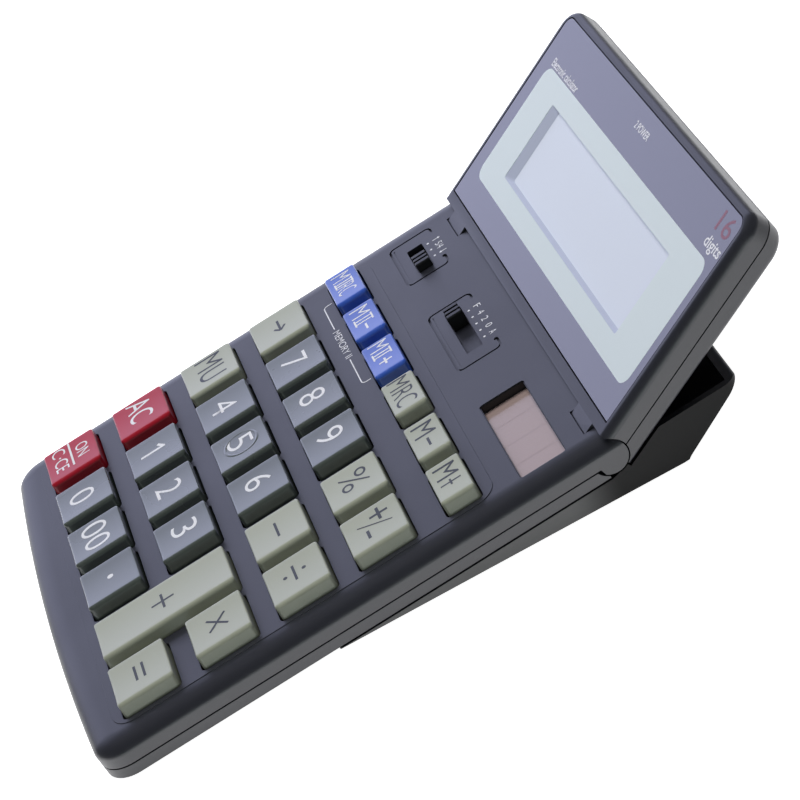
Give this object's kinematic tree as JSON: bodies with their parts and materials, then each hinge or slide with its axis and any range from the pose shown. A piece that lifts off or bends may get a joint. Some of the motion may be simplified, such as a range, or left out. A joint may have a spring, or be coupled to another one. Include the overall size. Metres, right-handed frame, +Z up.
{
  "type": "desktop calculator",
  "caption": "Wide desktop calculator: low case with drafted keys, two slide switches and a solar window, a tilting display on a rear hinge and a wedge stand with an open tray.",
  "frame": {"origin": "on the desk under the middle of the calculator's bounding box", "axes": "+X to the right of the keyboard as its user sees it, +Y from the front edge towards the display, +Z up from the desk"},
  "size_m": [0.148, 0.2018, 0.0478],
  "materials": {
    "slate_plastic": "fine satin moulding",
    "black_plastic": "fine matt moulding",
    "grey_key": "satin key cap with printed legend",
    "ivory_key": "satin key cap with printed legend",
    "red_key": "satin key cap with printed legend",
    "blue_key": "satin key cap with printed legend",
    "black_rubber": "matt rubber",
    "clear_window": "clear polished panel",
    "glass": "liquid crystal display",
    "solar_film": "thin film cell",
    "green_board": "lacquered board",
    "steel": "bright steel"
  },
  "bodies": {
    "case": {"case_screw_left": "steel", "case_screw_right": "steel", "circuit_board": "green_board", "coin_cell": "steel", "contact_negative": "steel", "contact_positive": "steel", "foot_front_left": "black_rubber", "foot_front_right": "black_rubber", "foot_rear_left": "black_rubber", "foot_rear_right": "black_rubber", "hinge_pin_left": "steel", "hinge_pin_right": "steel", "key_mat": "black_rubber", "lower_case": "slate_plastic", "solar_cell": "solar_film", "solar_window": "clear_window", "stand": "black_plastic", "upper_case": "slate_plastic"},
    "display": {"display_bezel": "slate_plastic", "display_cover": "slate_plastic", "display_panel": "clear_window", "lcd": "glass", "display_board": "green_board"},
    "rounding_switch": {"rounding_switch": "black_plastic"},
    "decimal_switch": {"decimal_switch": "black_plastic"},
    "battery_door": {"battery_door": "black_plastic"},
    "key_0": {"key_0": "grey_key"},
    "key_00": {"key_00": "grey_key"},
    "key_1": {"key_1": "grey_key"},
    "key_2": {"key_2": "grey_key"},
    "key_3": {"key_3": "grey_key"},
    "key_4": {"key_4": "grey_key"},
    "key_5": {"key_5": "grey_key"},
    "key_6": {"key_6": "grey_key"},
    "key_7": {"key_7": "grey_key"},
    "key_8": {"key_8": "grey_key"},
    "key_9": {"key_9": "grey_key"},
    "key_all_clear": {"key_all_clear": "red_key"},
    "key_divide": {"key_divide": "ivory_key"},
    "key_equals": {"key_equals": "ivory_key"},
    "key_markup": {"key_markup": "ivory_key"},
    "key_memory2_minus": {"key_memory2_minus": "blue_key"},
    "key_memory2_plus": {"key_memory2_plus": "blue_key"},
    "key_memory2_recall": {"key_memory2_recall": "blue_key"},
    "key_memory_minus": {"key_memory_minus": "ivory_key"},
    "key_memory_plus": {"key_memory_plus": "ivory_key"},
    "key_memory_recall": {"key_memory_recall": "ivory_key"},
    "key_minus": {"key_minus": "ivory_key"},
    "key_on": {"key_on": "red_key"},
    "key_percent": {"key_percent": "ivory_key"},
    "key_plus": {"key_plus": "ivory_key"},
    "key_point": {"key_point": "grey_key"},
    "key_shift_right": {"key_shift_right": "ivory_key"},
    "key_sign": {"key_sign": "ivory_key"},
    "key_times": {"key_times": "ivory_key"}
  },
  "joints": [
    {"name": "display_hinge", "type": "hinge", "parent": "case", "child": "display", "pos_m": [0, 0.042, 0.0123], "axis": [1, 0, 0], "range_deg": [0, 18]},
    {"name": "rounding_slide", "type": "slide", "parent": "case", "child": "rounding_switch", "axis": [1, 0, 0], "range_m": [-0.0078, 0]},
    {"name": "decimal_slide", "type": "slide", "parent": "case", "child": "decimal_switch", "axis": [1, 0, 0], "range_m": [0, 0.0156]},
    {"name": "battery_door_hinge", "type": "hinge", "parent": "case", "child": "battery_door", "pos_m": [0, 0.01805, 0.00239], "axis": [-1, 0, 0], "range_deg": [0, 80]},
    {"name": "press_0", "type": "slide", "parent": "case", "child": "key_0", "axis": [0, 0.0458, -0.999], "range_m": [0, 0.002], "stiffness_N_per_m": 250, "springref_m": -0.0008},
    {"name": "press_00", "type": "slide", "parent": "case", "child": "key_00", "axis": [0, 0.0458, -0.999], "range_m": [0, 0.002], "stiffness_N_per_m": 250, "springref_m": -0.0008},
    {"name": "press_1", "type": "slide", "parent": "case", "child": "key_1", "axis": [0, 0.0458, -0.999], "range_m": [0, 0.002], "stiffness_N_per_m": 250, "springref_m": -0.0008},
    {"name": "press_2", "type": "slide", "parent": "case", "child": "key_2", "axis": [0, 0.0458, -0.999], "range_m": [0, 0.002], "stiffness_N_per_m": 250, "springref_m": -0.0008},
    {"name": "press_3", "type": "slide", "parent": "case", "child": "key_3", "axis": [0, 0.0458, -0.999], "range_m": [0, 0.002], "stiffness_N_per_m": 250, "springref_m": -0.0008},
    {"name": "press_4", "type": "slide", "parent": "case", "child": "key_4", "axis": [0, 0.0458, -0.999], "range_m": [0, 0.002], "stiffness_N_per_m": 250, "springref_m": -0.0008},
    {"name": "press_5", "type": "slide", "parent": "case", "child": "key_5", "axis": [0, 0.0458, -0.999], "range_m": [0, 0.002], "stiffness_N_per_m": 250, "springref_m": -0.0008},
    {"name": "press_6", "type": "slide", "parent": "case", "child": "key_6", "axis": [0, 0.0458, -0.999], "range_m": [0, 0.002], "stiffness_N_per_m": 250, "springref_m": -0.0008},
    {"name": "press_7", "type": "slide", "parent": "case", "child": "key_7", "axis": [0, 0.0458, -0.999], "range_m": [0, 0.002], "stiffness_N_per_m": 250, "springref_m": -0.0008},
    {"name": "press_8", "type": "slide", "parent": "case", "child": "key_8", "axis": [0, 0.0458, -0.999], "range_m": [0, 0.002], "stiffness_N_per_m": 250, "springref_m": -0.0008},
    {"name": "press_9", "type": "slide", "parent": "case", "child": "key_9", "axis": [0, 0.0458, -0.999], "range_m": [0, 0.002], "stiffness_N_per_m": 250, "springref_m": -0.0008},
    {"name": "press_all_clear", "type": "slide", "parent": "case", "child": "key_all_clear", "axis": [0, 0.0458, -0.999], "range_m": [0, 0.002], "stiffness_N_per_m": 250, "springref_m": -0.0008},
    {"name": "press_divide", "type": "slide", "parent": "case", "child": "key_divide", "axis": [0, 0.0458, -0.999], "range_m": [0, 0.002], "stiffness_N_per_m": 250, "springref_m": -0.0008},
    {"name": "press_equals", "type": "slide", "parent": "case", "child": "key_equals", "axis": [0, 0.0458, -0.999], "range_m": [0, 0.002], "stiffness_N_per_m": 250, "springref_m": -0.0008},
    {"name": "press_markup", "type": "slide", "parent": "case", "child": "key_markup", "axis": [0, 0.0458, -0.999], "range_m": [0, 0.002], "stiffness_N_per_m": 250, "springref_m": -0.0008},
    {"name": "press_memory2_minus", "type": "slide", "parent": "case", "child": "key_memory2_minus", "axis": [0, 0.0458, -0.999], "range_m": [0, 0.002], "stiffness_N_per_m": 250, "springref_m": -0.0008},
    {"name": "press_memory2_plus", "type": "slide", "parent": "case", "child": "key_memory2_plus", "axis": [0, 0.0458, -0.999], "range_m": [0, 0.002], "stiffness_N_per_m": 250, "springref_m": -0.0008},
    {"name": "press_memory2_recall", "type": "slide", "parent": "case", "child": "key_memory2_recall", "axis": [0, 0.0458, -0.999], "range_m": [0, 0.002], "stiffness_N_per_m": 250, "springref_m": -0.0008},
    {"name": "press_memory_minus", "type": "slide", "parent": "case", "child": "key_memory_minus", "axis": [0, 0.0458, -0.999], "range_m": [0, 0.002], "stiffness_N_per_m": 250, "springref_m": -0.0008},
    {"name": "press_memory_plus", "type": "slide", "parent": "case", "child": "key_memory_plus", "axis": [0, 0.0458, -0.999], "range_m": [0, 0.002], "stiffness_N_per_m": 250, "springref_m": -0.0008},
    {"name": "press_memory_recall", "type": "slide", "parent": "case", "child": "key_memory_recall", "axis": [0, 0.0458, -0.999], "range_m": [0, 0.002], "stiffness_N_per_m": 250, "springref_m": -0.0008},
    {"name": "press_minus", "type": "slide", "parent": "case", "child": "key_minus", "axis": [0, 0.0458, -0.999], "range_m": [0, 0.002], "stiffness_N_per_m": 250, "springref_m": -0.0008},
    {"name": "press_on", "type": "slide", "parent": "case", "child": "key_on", "axis": [0, 0.0458, -0.999], "range_m": [0, 0.002], "stiffness_N_per_m": 250, "springref_m": -0.0008},
    {"name": "press_percent", "type": "slide", "parent": "case", "child": "key_percent", "axis": [0, 0.0458, -0.999], "range_m": [0, 0.002], "stiffness_N_per_m": 250, "springref_m": -0.0008},
    {"name": "press_plus", "type": "slide", "parent": "case", "child": "key_plus", "axis": [0, 0.0458, -0.999], "range_m": [0, 0.002], "stiffness_N_per_m": 250, "springref_m": -0.0008},
    {"name": "press_point", "type": "slide", "parent": "case", "child": "key_point", "axis": [0, 0.0458, -0.999], "range_m": [0, 0.002], "stiffness_N_per_m": 250, "springref_m": -0.0008},
    {"name": "press_shift_right", "type": "slide", "parent": "case", "child": "key_shift_right", "axis": [0, 0.0458, -0.999], "range_m": [0, 0.002], "stiffness_N_per_m": 250, "springref_m": -0.0008},
    {"name": "press_sign", "type": "slide", "parent": "case", "child": "key_sign", "axis": [0, 0.0458, -0.999], "range_m": [0, 0.002], "stiffness_N_per_m": 250, "springref_m": -0.0008},
    {"name": "press_times", "type": "slide", "parent": "case", "child": "key_times", "axis": [0, 0.0458, -0.999], "range_m": [0, 0.002], "stiffness_N_per_m": 250, "springref_m": -0.0008}
  ]
}
